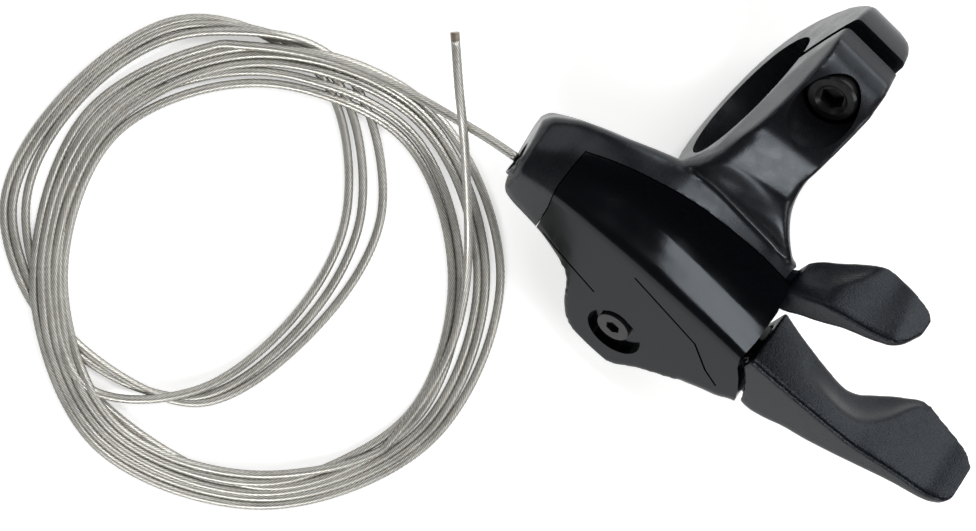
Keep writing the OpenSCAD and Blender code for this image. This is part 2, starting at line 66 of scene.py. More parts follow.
def pchip(tab, x):
    """Smooth value of a table of [x, y] rows, without overshoot."""
    n = len(tab)
    if x <= tab[0][0]:
        return tab[0][1]
    if x >= tab[-1][0]:
        return tab[-1][1]
    h = [tab[i + 1][0] - tab[i][0] for i in range(n - 1)]
    d = [(tab[i + 1][1] - tab[i][1]) / h[i] for i in range(n - 1)]
    s = [0.0] * n
    for i in range(1, n - 1):
        if d[i - 1] * d[i] > 0:
            w1, w2 = 2 * h[i] + h[i - 1], h[i] + 2 * h[i - 1]
            s[i] = (w1 + w2) / (w1 / d[i - 1] + w2 / d[i])
    s[0], s[-1] = d[0], d[-1]
    i = 0
    while x > tab[i + 1][0]:
        i += 1
    t = (x - tab[i][0]) / h[i]
    a, b = tab[i][1], tab[i + 1][1]
    return (a * (1 + 2 * t) * (1 - t) ** 2 + b * t * t * (3 - 2 * t)
            + h[i] * s[i] * t * (1 - t) ** 2 - h[i] * s[i + 1] * t * t * (1 - t))

def mesh_object(name, verts, faces, smooth=True):
    me = bpy.data.meshes.new(name)
    me.from_pydata([tuple(v) for v in verts], [], faces)
    me.validate()
    ob = bpy.data.objects.new(name, me)
    coll.objects.link(ob)
    if smooth:
        me.polygons.foreach_set("use_smooth", [True] * len(me.polygons))
    return ob

def catmull(pts, step):
    """Points about step apart on a smooth centripetal curve through pts."""
    P = np.array(pts, float)
    P = np.vstack([2 * P[0] - P[1], P, 2 * P[-1] - P[-2]])
    out = []
    for i in range(1, len(P) - 2):
        p0, p1, p2, p3 = P[i - 1], P[i], P[i + 1], P[i + 2]
        t0 = 0.0
        t1 = t0 + max(np.linalg.norm(p1 - p0), 1e-6) ** 0.5
        t2 = t1 + max(np.linalg.norm(p2 - p1), 1e-6) ** 0.5
        t3 = t2 + max(np.linalg.norm(p3 - p2), 1e-6) ** 0.5
        n = max(1, int(round(np.linalg.norm(p2 - p1) / step)))
        for k in range(n):
            t = t1 + (t2 - t1) * k / n
            a1 = p0 * (t1 - t) / (t1 - t0) + p1 * (t - t0) / (t1 - t0)
            a2 = p1 * (t2 - t) / (t2 - t1) + p2 * (t - t1) / (t2 - t1)
            a3 = p2 * (t3 - t) / (t3 - t2) + p3 * (t - t2) / (t3 - t2)
            b1 = a1 * (t2 - t) / (t2 - t0) + a2 * (t - t0) / (t2 - t0)
            b2 = a2 * (t3 - t) / (t3 - t1) + a3 * (t - t1) / (t3 - t1)
            out.append(b1 * (t2 - t) / (t2 - t1) + b2 * (t - t1) / (t2 - t1))
    out.append(P[-2])
    return np.array(out)

def resample(P, step):
    seg = np.linalg.norm(np.diff(P, axis=0), axis=1)
    s = np.concatenate([[0], np.cumsum(seg)])
    n = int(round(s[-1] / step)) + 1
    q = np.linspace(0, s[-1], n)
    return np.stack([np.interp(q, s, P[:, k]) for k in range(3)], axis=1)

# ------------------------------------------------------------------ cord
FLOOR = -15.1
CD = 1.2
LEAD = [(-22.9, -28.5, 0.9), (-26.2, -29.2, -1), (-30.4, -30.4, -4), (-34.4, -31.6, -6.9),
        (-39, -32.8, -9.6), (-44, -34.1, -11.4)]
FREE = [(-16.9, -43.8, -12.3), (-20.5, -40.6, -10.3), (-24.9, -36.3, -7.2), (-28.3, -33.1, -4.4),
        (-31.6, -30.2, -2.2), (-35, -27.3, -1.2), (-38, -24.6, -0.7), (-40, -22.8, -0.5)]
BIG, SMALL = (-35.8, -67.6), (-49.8, -67.4)
# radius of each turn at eight stations 45 degrees apart, from the right side round over the top
BIG_R = [[34.4, 35.2, 34.4, 34.3, 32.9, 35.3, 34.2, 34.5],
         [34.4, 34.4, 33.4, 32.9, 31.9, 34.2, 33.4, 33.4],
         [32.3, 33.1, 32.2, 31.8, 31.0, 33.2, 32.4, 32.2],
         [31.1, 31.9, 31.0, 30.6, 30.1, 32.2, 31.6, 30.8],
         [28.6, 30.0, 29.8, 31.4, 29.3, 32.0, 30.6, 29.6],
         [27.4, 28.7, 28.1, 29.4, 29.0, 30.9, 29.8, 31.2]]
SMALL_R = [[22.3, 26.8, 27.3, 24.4, 27.1, 27.2, 26.7, 21.3],
           [24.4, 28.3, 26.3, 23.4, 25.8, 26.2, 27.7, 23.1],
           [27.3, 29.8, 25.3, 22.4, 24.1, 25.0, 28.7, 24.8]]

def station(centre, r, j):
    a = math.radians(43.8 + 45.0 * j)
    return (centre[0] + r * math.cos(a), centre[1] + r * math.sin(a))

knots = []
def add(kind, turn, j, z):
    if kind == "big":
        x, y = station(BIG, BIG_R[turn][j], j)
    elif kind == "small":
        x, y = station(SMALL, SMALL_R[turn][j], j)
    else:
        a = station(BIG, 33.0, j)
        b = station(SMALL, 26.5, j)
        x, y = (a[0] + b[0]) / 2, (a[1] + b[1]) / 2
    knots.append((x, y, FLOOR + 0.6 + z))
for j in range(2, 8):
    add("big", 0, j, 2.9)
for t, z in ((1, 2.6), (2, 2.3)):
    for j in range(8):
        add("big", t, j, z)
for j in range(5):
    add("big", 3, j, 1.9)
add("mid", 0, 5, 1.2)
for t in range(3):
    for i, j in enumerate((6, 7, 0, 1, 2, 3, 4, 5)):
        if t == 2 and j == 5:
            break
        add("small", t, j, 0.0 + 0.15 * t)
add("mid", 0, 5, 0.3)
for j in (6, 7):
    add("big", 3, j, 1.0)
for t, z in ((4, 1.4), (5, 1.9)):
    for j in range(8):
        add("big", t, j, z)
knots.append((*station(BIG, 30.9, 0), FLOOR + 2.0))

route = catmull(LEAD + knots + FREE, 1.0)
route = resample(route, 2.2)
n_lead = int(28 / 2.2)
n_free = int(38 / 2.2)
home = route.copy()
N = len(route)
free = np.ones(N)
free[:n_lead - 2] = 0
free[N - n_free:] = 0
for k in range(12):
    free[n_lead - 2 + k] = smooth01(k / 12)
    free[N - n_free - 1 - k] = smooth01(k / 12)
idx = np.arange(N)
near = np.abs(idx[:, None] - idx[None, :]) <= 4
X = route.copy()
for it in range(170):
    V = X[:, None, :] - X[None, :, :]
    D = np.sqrt((V ** 2).sum(-1)) + 1e-9
    D[near] = 9.0
    want = CD * 1.01
    push = np.where(D < want, (want - D) / D, 0.0) * 0.42
    W = V.copy()
    W[..., 2] *= 1.6
    move = (push[..., None] * W).sum(1)
    move = np.clip(move, -0.35, 0.35)
    X = X + move * free[:, None]
    X[:, 2] -= 0.03 * free
    back = home - X
    back[:, 2] = 0
    X = X + back * 0.02 * free[:, None]
    for _ in range(2):
        lap = np.zeros_like(X)
        off = X - home
        off[:, 2] = X[:, 2]
        lap[1:-1] = 0.5 * (off[:-2] + off[2:]) - off[1:-1]
        X = X + lap * 0.35 * free[:, None]
    X[:, 2] = np.maximum(X[:, 2], FLOOR + CD / 2)
order = home[:, 2]
for it in range(90):
    V = X[:, None, :] - X[None, :, :]
    D = np.sqrt((V ** 2).sum(-1)) + 1e-9
    D[near] = 9.0
    side = np.sign(np.where(np.abs(order[:, None] - order[None, :]) > 0.12, order[:, None] - order[None, :], V[..., 2]))
    lift = np.where(D < CD * 0.99, (CD * 0.99 - D) * 0.45 * side, 0.0)
    up_ = np.clip(lift.max(1), 0, 0.12) + np.clip(lift.min(1), -0.12, 0)
    X[:, 2] += up_ * free
    X[1:-1, 2] += (0.5 * (X[:-2, 2] + X[2:, 2]) - X[1:-1, 2]) * 0.25 * free[1:-1]
    X[:, 2] = np.maximum(X[:, 2], FLOOR + CD / 2)
for lo_i, hi_i in ((n_lead - 8, n_lead + 10), (N - n_free - 14, N - n_free + 9)):
    for _ in range(40):
        seg = X[lo_i:hi_i].copy()
        X[lo_i:hi_i] = 0.5 * seg + 0.25 * (X[lo_i - 1:hi_i - 1] + X[lo_i + 1:hi_i + 1])
fine = catmull(X, 0.8)
fine = resample(fine, 0.8)
fine[:, 2] = np.maximum(fine[:, 2], FLOOR + CD / 2)

def strand(name, P, d, lobes=12, lay=9.0, cap=True):
    """Twisted stranded cable: lobed rings that turn with the lay of the wires, plus a painted shade attribute that
    darkens the valleys and the underside.
    """
    n = len(P)
    T = np.gradient(P, axis=0)
    T /= np.linalg.norm(T, axis=1)[:, None]
    up = np.array([0, 0, 1.0])
    A = np.cross(T, up)
    A /= np.linalg.norm(A, axis=1)[:, None]
    B = np.cross(A, T)
    s = np.concatenate([[0], np.cumsum(np.linalg.norm(np.diff(P, axis=0), axis=1))])
    k = lobes * 2
    base = 2 * math.pi * np.arange(k) / k
    rad = np.where(np.arange(k) % 2 == 0, d / 2 * 1.09, d / 2 * 0.96)
    ang = base[None, :] + (2 * math.pi * s / lay)[:, None]
    V = (P[:, None, :] + rad[None, :, None] * (np.cos(ang)[..., None] * A[:, None, :]
         + np.sin(ang)[..., None] * B[:, None, :]))
    V = V.reshape(-1, 3)
    faces = []
    for i in range(n - 1):
        for j in range(k):
            a, b = i * k + j, i * k + (j + 1) % k
            faces.append((a, b, b + k, a + k))
    faces.append(tuple(range(k - 1, -1, -1)))
    faces.append(tuple((n - 1) * k + j for j in range(k)))
    ob = mesh_object(name, V * MM, faces)
    # painted shade: 1.0 on the wire crests, 0.42 in the valleys between wires, standing in for shade between strands
    valley_shade = np.where(np.arange(k) % 2 == 0, 1.0, 0.42)
    # painted shade: darker towards the tube's lower side, where the floor and neighbouring turns shade it
    side = 0.32 + 0.68 * np.clip((np.sin(ang) + 0.25) / 0.9, 0, 1)
    wire = ob.data.attributes.new("wire", "FLOAT", "POINT")
    wire.data.foreach_set("value", (valley_shade[None, :] * side).reshape(-1).astype(np.float32))
    return ob

cord = strand("inner_cable", fine, CD)
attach(cord, "housing")
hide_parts("cable_lead", "cable_coil", "cable_free_end")

# ------------------------------------------------------------------ moulded and cast surfaces
PIV = (4.2, -36.6, -4.4)
TILT = 52.0
TT = math.tan(math.radians(TILT))
PV = Matrix.Translation(PIV) @ Matrix.Rotation(math.radians(TILT), 4, "X")
IDN = Matrix.Identity(4)
YC = [[-23.6, -29.2], [-16, -27.8], [-8, -27.2], [22, -26.0], [25, -25.9]]
YB = [[-23.6, -32.0], [-21, -33.6], [-13.5, -34.2], [-7, -35.6], [0, -36.8], [12, -36.8], [15.9, -36.2], [19.1, -34.7], [21.1, -33.8], [22.7, -32.6], [25, -32.2]]
YR = [[-23.6, -22.0], [-22, -20.4], [-19, -17.6], [-15, -15.8], [-10, -13.6], [-5, -12.0], [0, -11.6], [15, -11.8], [25, -13]]
ZR = [[-23.6, 3.6], [-20, 6.0], [-15, 8.2], [-10, 10.2], [-5, 11.8], [0, 12.2], [14, 11.6], [25, 10]]
YM = [[-23.6, -25.6], [-16, -21.8], [-8, -19.6], [25, -19]]
ZM = [[-23.6, 5.2], [-18, 8.6], [-10, 11.2], [0, 12.4], [12, 12.2], [20, 11.2], [25, 10.4]]
YK = [[-23.6, -21.8], [-18, -18.0], [-12, -15.4], [-6, -13.0], [0, -12.6], [25, -12.8]]
ZK = [[-23.6, -4.5], [-16, -3], [-8, 2.0], [0, 2.6], [25, 2.6]]
Z4 = [[-23.6, -6.5], [-17, -8.5], [-11, -13.6], [-8, FLOOR], [25, FLOOR]]

def facet_z(y):
    return -4.4 + (y + 36.6) * TT

def env(x):
    yc, yb, yr, zr, ym, zm, yk, zk, z4 = (pchip(t, x) for t in (YC, YB, YR, ZR, YM, ZM, YK, ZK, Z4))
    return [(yb, facet_z(yb), 1.6), (min(yb + 2.0, -30.4), max(z4, facet_z(yb) - 8.0), 3.0),
            (min(yb + 6.0, -27.4), z4, 2.0), (-23.6, z4, 2.5), (yk, zk, 4.0), (yr, zr, 1.2),
            (ym, zm, 6.0), (yc, facet_z(yc), 1.6)]

def unit(a, b):
    l = max(math.hypot(a, b), 1e-3)
    return a / l, b / l

def inset(cs, d):
    out = []
    m_ = len(cs)
    for i in range(m_):
        p, c, q = cs[i - 1], cs[i], cs[(i + 1) % m_]
        u, v = unit(c[0] - p[0], c[1] - p[1]), unit(q[0] - c[0], q[1] - c[1])
        nu, nv = (-u[1], u[0]), (-v[1], v[0])
        k = 1 + nu[0] * nv[0] + nu[1] * nv[1]
        out.append((c[0] + (nu[0] + nv[0]) * d / k, c[1] + (nu[1] + nv[1]) * d / k, max(0.4, c[2] - d)))
    return out

def ring2(cs, n):
    out = []
    m_ = len(cs)
    for i in range(m_):
        p, c, q = cs[i - 1], cs[i], cs[(i + 1) % m_]
        r = min(c[2], 0.49 * math.hypot(p[0] - c[0], p[1] - c[1]), 0.49 * math.hypot(q[0] - c[0], q[1] - c[1]))
        u, v = unit(p[0] - c[0], p[1] - c[1]), unit(q[0] - c[0], q[1] - c[1])
        a, b = (c[0] + u[0] * r, c[1] + u[1] * r), (c[0] + v[0] * r, c[1] + v[1] * r)
        for j in range(n):
            k = j / (n - 1)
            out.append(tuple(a[e] * (1 - k) ** 2 + 2 * k * (1 - k) * c[e] + b[e] * k * k for e in (0, 1)))
    return out

def solid(name, verts, faces, frame_m=IDN):
    ob = mesh_object(name, [frame_m @ Vector(v) for v in verts], faces)
    bm = bmesh.new()
    bm.from_mesh(ob.data)
    bmesh.ops.recalc_face_normals(bm, faces=bm.faces)
    bmesh.ops.triangulate(bm, faces=[f for f in bm.faces if len(f.verts) > 4])
    bm.to_mesh(ob.data)
    bm.free()
    return ob

def skin(rings, frame_m=IDN):
    n, k = len(rings), len(rings[0])
    faces = [tuple(range(k))] + [tuple((n - 1) * k + j for j in range(k - 1, -1, -1))]
    for i in range(n - 1):
        for j in range(k):
            a, b = i * k + j, i * k + (j + 1) % k
            faces.append((a, a + k, b + k, b))
    return solid("s", [v for r in rings for v in r], faces, frame_m)

def prism(poly, z0, z1, frame_m=IDN):
    n = len(poly)
    verts = [(x, y, z0) for x, y in poly] + [(x, y, z1) for x, y in poly]
    faces = [tuple(range(n - 1, -1, -1)), tuple(range(n, 2 * n))]
    faces += [(i, (i + 1) % n, n + (i + 1) % n, n + i) for i in range(n)]
    return solid("p", verts, faces, frame_m)

def disc(r, z0, z1, frame_m=IDN, c=(0, 0), n=72):
    return prism([(c[0] + r * math.cos(2 * math.pi * i / n), c[1] + r * math.sin(2 * math.pi * i / n)) for i in range(n)],
                 z0, z1, frame_m)

def box3(a, b, frame_m=IDN):
    return prism([(a[0], a[1]), (b[0], a[1]), (b[0], b[1]), (a[0], b[1])], a[2], b[2], frame_m)

def boo(a, b, op, solver="MANIFOLD"):
    for o in (a, b):
        o.hide_viewport = False
    mod = a.modifiers.new("b", "BOOLEAN")
    mod.operation, mod.solver, mod.object = op, solver, b
    bake(a)
    bpy.data.objects.remove(b)
    return a

def bake(a):
    bpy.context.view_layer.update()
    dg = bpy.context.evaluated_depsgraph_get()
    me = bpy.data.meshes.new_from_object(a.evaluated_get(dg))
    a.modifiers.clear()
    a.data = me
    if len(me.polygons) == 0:
        raise RuntimeError("empty mesh")
    return a

def join(a, *bs):
    for b in bs:
        boo(a, b, "UNION")
    return a

def cut(a, *bs):
    for b in bs:
        boo(a, b, "DIFFERENCE")
    return a

def remesh(a, voxel, smooth=0, factor=0.5):
    mod = a.modifiers.new("r", "REMESH")
    mod.mode, mod.voxel_size = "VOXEL", voxel
    if smooth:
        sm = a.modifiers.new("s", "SMOOTH")
        sm.factor, sm.iterations = factor, smooth
    return bake(a)

def done(ob, name, body, *nodes, slot=None):
    ob.data.transform(Matrix.Scale(MM, 4))
    ob.name = name
    ob.data.name = name
    ob.data.materials.clear()
    ob.data.polygons.foreach_set("use_smooth", [True] * len(ob.data.polygons))
    ob.data.set_sharp_from_angle(angle=math.radians(38))
    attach(ob, body)
    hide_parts(*nodes)
    return ob

ENV_X = [-22.4 + 0.5 * i for i in range(95)] + [25.0]
def lean(x, y):
    return (x + 18.5) / 3.9 * (y + 27) * 0.2 if x < -18.5 else 0.0
def envelope(d=0.0):
    rings = []
    if d == 0:
        for off, sc in ((0.9, 0.80), (0.72, 0.88), (0.42, 0.945)):
            rings.append([(-22.4 - off + 0.35 + lean(-22.4, y), -27.3 + (y + 27.3) * sc, -0.4 + (z + 0.4) * sc)
                          for y, z in ring2(env(-22.4), 6)])
    for x in ENV_X:
        if d == 0 or x > -16:
            cs = env(x)
            rings.append([(x + lean(x, y), y, z) for y, z in ring2(inset(cs, d) if d else cs, 6)])
    return skin(rings)
BOSS = [(-12, 1.95), (-11.2, 1.7), (-9.8, 0.2), (-8.4, -2.3), (-7.2, -4.7), (-5.2, -7.3), (-3.7, -8.4), (-1.9, -8.9), (0.2, -9.1),
        (2.7, -9.0), (4.2, -8.6), (5.2, -7.9), (6.2, -6.2), (7.5, -4.2), (9.3, -2.2), (11.7, 0.4), (12.2, 8), (-12, 8)]
def boss(k=1.0, t0=0.0):
    return prism([(x * k, y * k) for x, y in BOSS], -12, t0, PV)
def above_floor():
    return box3((-60, -80, FLOOR), (100, 40, 45))
SEAM_EDGE = [(-22, 28), (-22, 22), (-21.7, 18.5), (-21.1, 15), (-19.6, 10.4), (-18.2, 4), (-16.4, -8), (-16, -40), (60, -40), (60, 60), (-28, 60)]
SEAM_LINE = [(-30, -4.5), (-21.5, -4.7), (-18.8, -5.2), (-14.9, -5.7), (-11.3, -6.05), (-6.1, -6.6), (0.7, -7.2), (5, -7.5),
             (70, -7.5), (70, 30), (-30, 30)]
def front_zone(e):
    a = prism(SEAM_EDGE, -20, 30, PV @ Matrix.Translation((e, 0, 0)))
    b = prism(SEAM_LINE, -70, 70, PV @ Matrix.Translation((0, 0, e)) @ XZY)
    return boo(a, b, "INTERSECT")
YZX = Matrix(((0, 0, 1, 0), (1, 0, 0, 0), (0, 1, 0, 0), (0, 0, 0, 1)))
XZY = Matrix(((1, 0, 0, 0), (0, 0, -1, 0), (0, 1, 0, 0), (0, 0, 0, 1)))

def strip(p, q, w, z0, z1):
    dx, dy = unit(q[0] - p[0], q[1] - p[1])
    nx, ny = -dy * w / 2, dx * w / 2
    return prism([(p[0] - nx, p[1] - ny), (q[0] - nx, q[1] - ny), (q[0] + nx, q[1] + ny), (p[0] + nx, p[1] + ny)], z0, z1, PV)

# cover
cover = envelope()
join(cover, boss())
cover = boo(cover, above_floor(), "INTERSECT")
remesh(cover, 0.26, 16)
cover = boo(cover, front_zone(0.11), "INTERSECT")
cover = boo(cover, prism([(-60, -60), (18.6, -60), (18.6, 7.4), (18.3, 8.2), (17.3, 10.1), (15.9, 12.2), (14.4, 14.0),
                          (13.4, 16.0), (12.9, 19.4), (12.0, 23.0), (10.6, 26.5), (9.5, 30), (9.5, 60), (-60, 60)],
                         -14, 6, PV), "INTERSECT")
inner = envelope(1.7)
join(inner, boss(0.8, -1.7))
cut(inner, box3((-30, -20, -1.7), (30, 40, 6), PV))
cut(cover, inner,
    box3((10.6, 3.8, -9), (30.6, 18.4, -1.7), PV), box3((15.2, -6, -9), (35.2, 6, -1.7), PV))
groove = [((-17.0, 4.6), (-11.4, 3.7)), ((-11.4, 3.7), (-5.8, 2.8)), ((-4.4, 12.6), (2.0, 11.8)), ((2.0, 11.8), (8.3, 11.0)),
          ((8.3, 11.0), (12.4, 8.0)), ((12.4, 8.0), (15.3, 6.9))]
for p, q in groove:
    cut(cover, strip(p, q, 0.34, -0.25, 2))
well = disc(4.3, -1.2, 3, PV, (0.8, -1.3))
cut(well, disc(2.8, -2, -0.9, PV))
cut(cover, well, disc(1.7, -3, 5, PV))
done(cover, "cover_moulding", "housing", "front_cover", slot="gloss_black")
print("cover", len(cover.data.polygons))

# casting: clamp, neck and housing base
PROFILE = [(-3, -15.0), (3, -14.9), (8, -13.6), (12.5, -9.6), (16.2, -3.6), (18.6, 1.5), (19.9, 6.6), (19.7, 9.6), (17.3, 13.2),
           (15.3, 14.9), (13.0, 16.2), (10.5, 17.5), (5, 18.2), (0, 18.0), (-4.5, 16.6), (-8.5, 14.2), (-11.2, 12.1), (-14, 9), (-15, 0), (-12, -9)]
PLAN = [(-5.8, -20), (5.8, -20), (5.8, 2), (5.1, 9), (4.4, 15), (4.2, 18.2), (3.2, 19.8), (-2.6, 20.2), (-4.2, 19.2), (-5.2, 14), (-5.7, 8), (-5.8, 2)]
def chaikin(poly, times, keep=()):
    for _ in range(times):
        out = []
        for i in range(len(poly)):
            a, b = poly[i], poly[(i + 1) % len(poly)]
            out += [(0.75 * a[0] + 0.25 * b[0], 0.75 * a[1] + 0.25 * b[1]), (0.25 * a[0] + 0.75 * b[0], 0.25 * a[1] + 0.75 * b[1])]
        poly = out
    return poly
block = prism(chaikin(PROFILE, 2), -5.8, 5.8, YZX)
join(block, disc(15.1, -5.8, 5.8, YZX, n=120))
block = boo(block, prism(chaikin([(x, y) for x, y in PLAN], 1), -20, 30), "INTERSECT")
sides = prism([(-5.8, -30), (5.8, -30), (5.8, 11.3), (5.0, 19), (-4.6, 19), (-5.8, 11.3)], -30, 30, XZY)
block = boo(block, sides, "INTERSECT")
RX = Matrix.Rotation(math.radians(40), 4, "X")
cut(block, box3((-20, 20.5, 0.2), (20, 30, 30), RX))
neck = []
for i in range(25):
    u = i / 24
    y = 2 - 14.5 * u
    w0, w1 = -4.5 - 2.2 * u ** 3, 4.9 + 8.6 * u ** 3
    z1, z0 = 17.6 - 1.0 * u - 4.8 * u ** 4, 11.6 - 3.5 * u
    neck.append([(a, y, b) for a, b in ring2([(w0 - 0.6, z0, 0.1), (w1 + 0.8, z0, 0.1), (w1, z1, 1.6), (w0, z1, 1.6)], 5)])
neck = skin(neck)
base = envelope()
join(base, boss())
base = boo(base, above_floor(), "INTERSECT")
join(base, neck)
cut(base, box3((14.7, -60, -40), (54.7, 20, 40)))
join(base, block)
remesh(base, 0.36, 12)
seam_t = [[-30, -4.5], [-21.5, -4.7], [-18.8, -5.2], [-14.9, -5.7], [-11.3, -6.05], [-6.1, -6.6], [0.7, -7.2], [5, -7.5], [70, -7.5]]
to_pv = PV.inverted()
for v in base.data.vertices:
    p = to_pv @ v.co
    q = (pchip(seam_t, p.x) - p.z) / math.sin(math.radians(TILT))
    if v.co.z > 2 and 0 < q < 10:
        fall = 0.36 * q if q < 4.6 else 0.36 * 4.6 * (1 - smooth01((q - 4.6) / 5.4))
        v.co.z -= fall * smooth01((p.x + 21) / 9) * smooth01((v.co.z - 2) / 4)
    if v.co.z > 9 and -16 < v.co.y < -3:
        v.co.z -= 0.6 * math.exp(-((v.co.x + 0.6) / 4.6) ** 2 - ((v.co.y + 9.8 - 0.16 * v.co.x) / 1.6) ** 2)
cut(base, front_zone(-0.06),
    box3((9.2, -6, -12.5), (29.2, 32.2, 17.5), PV),
    prism([(-13, 3), (-6, 0.6), (-5.5, -3), (5.5, -3), (9.5, 0.8), (16, 2), (30, 6), (30, 26),
           (9.4, 25.4), (2, 23), (1.6, 20), (-11, 17)], -12.5, 7.5, PV),
    disc(11.1, -30, 30, YZX, n=120))
SCREW = Matrix.Translation((0, 15.3 * math.cos(math.radians(40)), 15.3 * math.sin(math.radians(40)))) @ RX
cut(base, box3((-20, 5, -0.8), (20, 35, 0.8), RX), disc(4.1, 3.6, 24, SCREW), disc(2.2, 0, 10, SCREW), disc(2.0, -9, 1, SCREW))
STOP = Matrix.Translation((-22.9, -28.5, 0.9)) @ Matrix.Rotation(math.radians(90), 4, "Y")
cut(base, disc(2.5, -3, 5, STOP, n=48))
done(base, "clamp_casting", "housing", "clamp_body", slot="cast_black")
print("casting", len(base.data.polygons))

# levers
LK = dict(top=[[14.7, 17.0], [20, 17.5], [28, 18.5], [32, 19.1], [36, 20.5], [40, 21.9], [43, 22.8], [45, 23.9], [46.9, 24.8]],
          bot=[[15, 7.4], [18, 6.9], [20.5, 6.8], [23, 7.8], [25.6, 9.6], [28.6, 11.0], [32, 13.0], [36, 15.6], [40, 18.2], [44, 20.3], [46.9, 22.6]],
          back=[[15, -10.6], [18.6, -9.4], [24, -8.1], [28, -7.5], [30, -8.1], [32, -9.7], [35, -12.0], [37.5, -13.2], [40.5, -12.1], [43, -11.2], [45, -9.9], [46.9, -7.6]],
          front=[[15, -0.5], [44.5, -0.5], [46, -0.9], [46.9, -2.2]])
LS_T = [[14, -5.0], [23.4, -4.3], [28.6, -3.9], [31.3, -4.3], [33.2, -5.9], [34.7, -8.0], [35.9, -10.4], [37.7, -12.5], [47, -12.5]]
LS_D = [[14, 0], [20, 0.0], [24, 1.0], [28, 2.1], [31, 2.5], [34, 2.1], [36.5, 1.0], [38.5, 0.0], [47, 0]]
rings = []
x = 14.7
while x < 46.85:
    t, b, k, f = (pchip(LK[n_], x) for n_ in ("top", "bot", "back", "front"))
    d, m_ = pchip(LS_D, x), pchip(LS_T, x)
    k2 = k - 0.6 * d
    m_ = max(m_, k2 + 1.6)
    rings.append([(x, p, q) for p, q in ring2([(b, f, 1.3), (b + 0.6, k2 + 1.2, 1.2), (t - d, k2, 0.9),
                                              (t - d * 0.72 - 0.001, (m_ * 0.55 + k2 * 0.45), 1.5), (t, m_, 0.8), (t, f, 0.8)], 6)])
    x += 0.4 if x < 44 else 0.2
lever = skin(rings, PV)
cut(lever, disc(20.6, -2.2, 3.8, PV, n=160), disc(18.2, -20, 10, PV, n=160))
cut(lever, box3((10, 8.8, -8.4), (26, 15.4, -5.78), PV))
remesh(lever, 0.2, 14)
done(lever, "lock_blade", "lock", "lock_lever", slot="lever_black")
print("lever", len(lever.data.polygons))
RL = dict(th=[[10.6, 7.0], [13, 7.0], [15, 6.4], [17, 5.2], [19, 3.8], [23, 2.9], [26.6, 1.6]],
          fs=[[10.6, 26.0], [11.4, 27.4], [13, 29.6], [14.5, 31.4], [16.3, 32.4], [19.3, 33.6], [22, 34.9], [24, 36], [26.6, 36.2]],
          ft=[[10.6, -6.6], [12, -6.0], [14, -5.6], [16.3, -5.4], [23.5, -5.6], [25, -6.6], [26, -8.6], [26.6, -10]],
          bs=[[10.6, 27.2], [11.4, 28.6], [14, 31.2], [17, 33], [20, 34.2], [23, 35.8], [26.6, 36.4]],
          bt=[[10.6, -12.0], [12, -12.6], [13.3, -13.0], [15.5, -14.4], [17, -15.4], [18.5, -15.8], [21, -15.1], [23, -14.1],
              [25.3, -13.2], [26.6, -11.8]])
RS_T = [[11, -7.6], [13.8, -8.8], [15.7, -11.2], [17.3, -13.6], [27, -13]]
RS_D = [[10.5, 0.2], [12, 1.5], [14, 2.0], [16, 1.3], [17.6, 0.0], [27, 0.0]]
rings = []
x = 10.6
while x < 26.5:
    fs, ft, bs, bt, th = (pchip(RL[n_], x) for n_ in ("fs", "ft", "bs", "bt", "th"))
    d, m_ = pchip(RS_D, x), pchip(RS_T, x)
    bt2 = bt - 0.6 * d
    w = min(max((m_ - bt2) / (ft - bt2), 0.15), 0.85)
    ms, m_ = bs - d + (fs - bs + d) * 0.0 + (fs - bs) * w + d, bt2 + (ft - bt2) * w
    rings.append([(x, p, q) for p, q in ring2([(fs - th, ft - 0.3, 0.9), (bs - th, bt2 + 0.8, 0.9), (bs - d, bt2, 0.7),
                                              ((bs - d) * 0.5 + ms * 0.5 - 0.22 * d, (bt2 + m_) / 2, 0.9), (ms, m_, 0.6), (fs, ft, 0.8)], 6)])
    x += 0.3 if x < 24 else 0.15
small = skin(rings, PV)
arm = prism([(3.2, 14.2), (9.2, 17.6), (12.6, 20.6), (12.8, 25), (11.4, 26.2), (8.8, 23.2), (3, 19.9)], -11.2, -8.8, PV)
join(arm, disc(2.9, -11.2, -8.8, PV, (3.0, 17.0)))
cut(arm, disc(1.03, -12, -8, PV, (3.0, 17.0)))
join(small, arm)
remesh(small, 0.2, 12)
done(small, "release_blade", "release", "release_lever", slot="lever_black")
print("small", len(small.data.polygons))


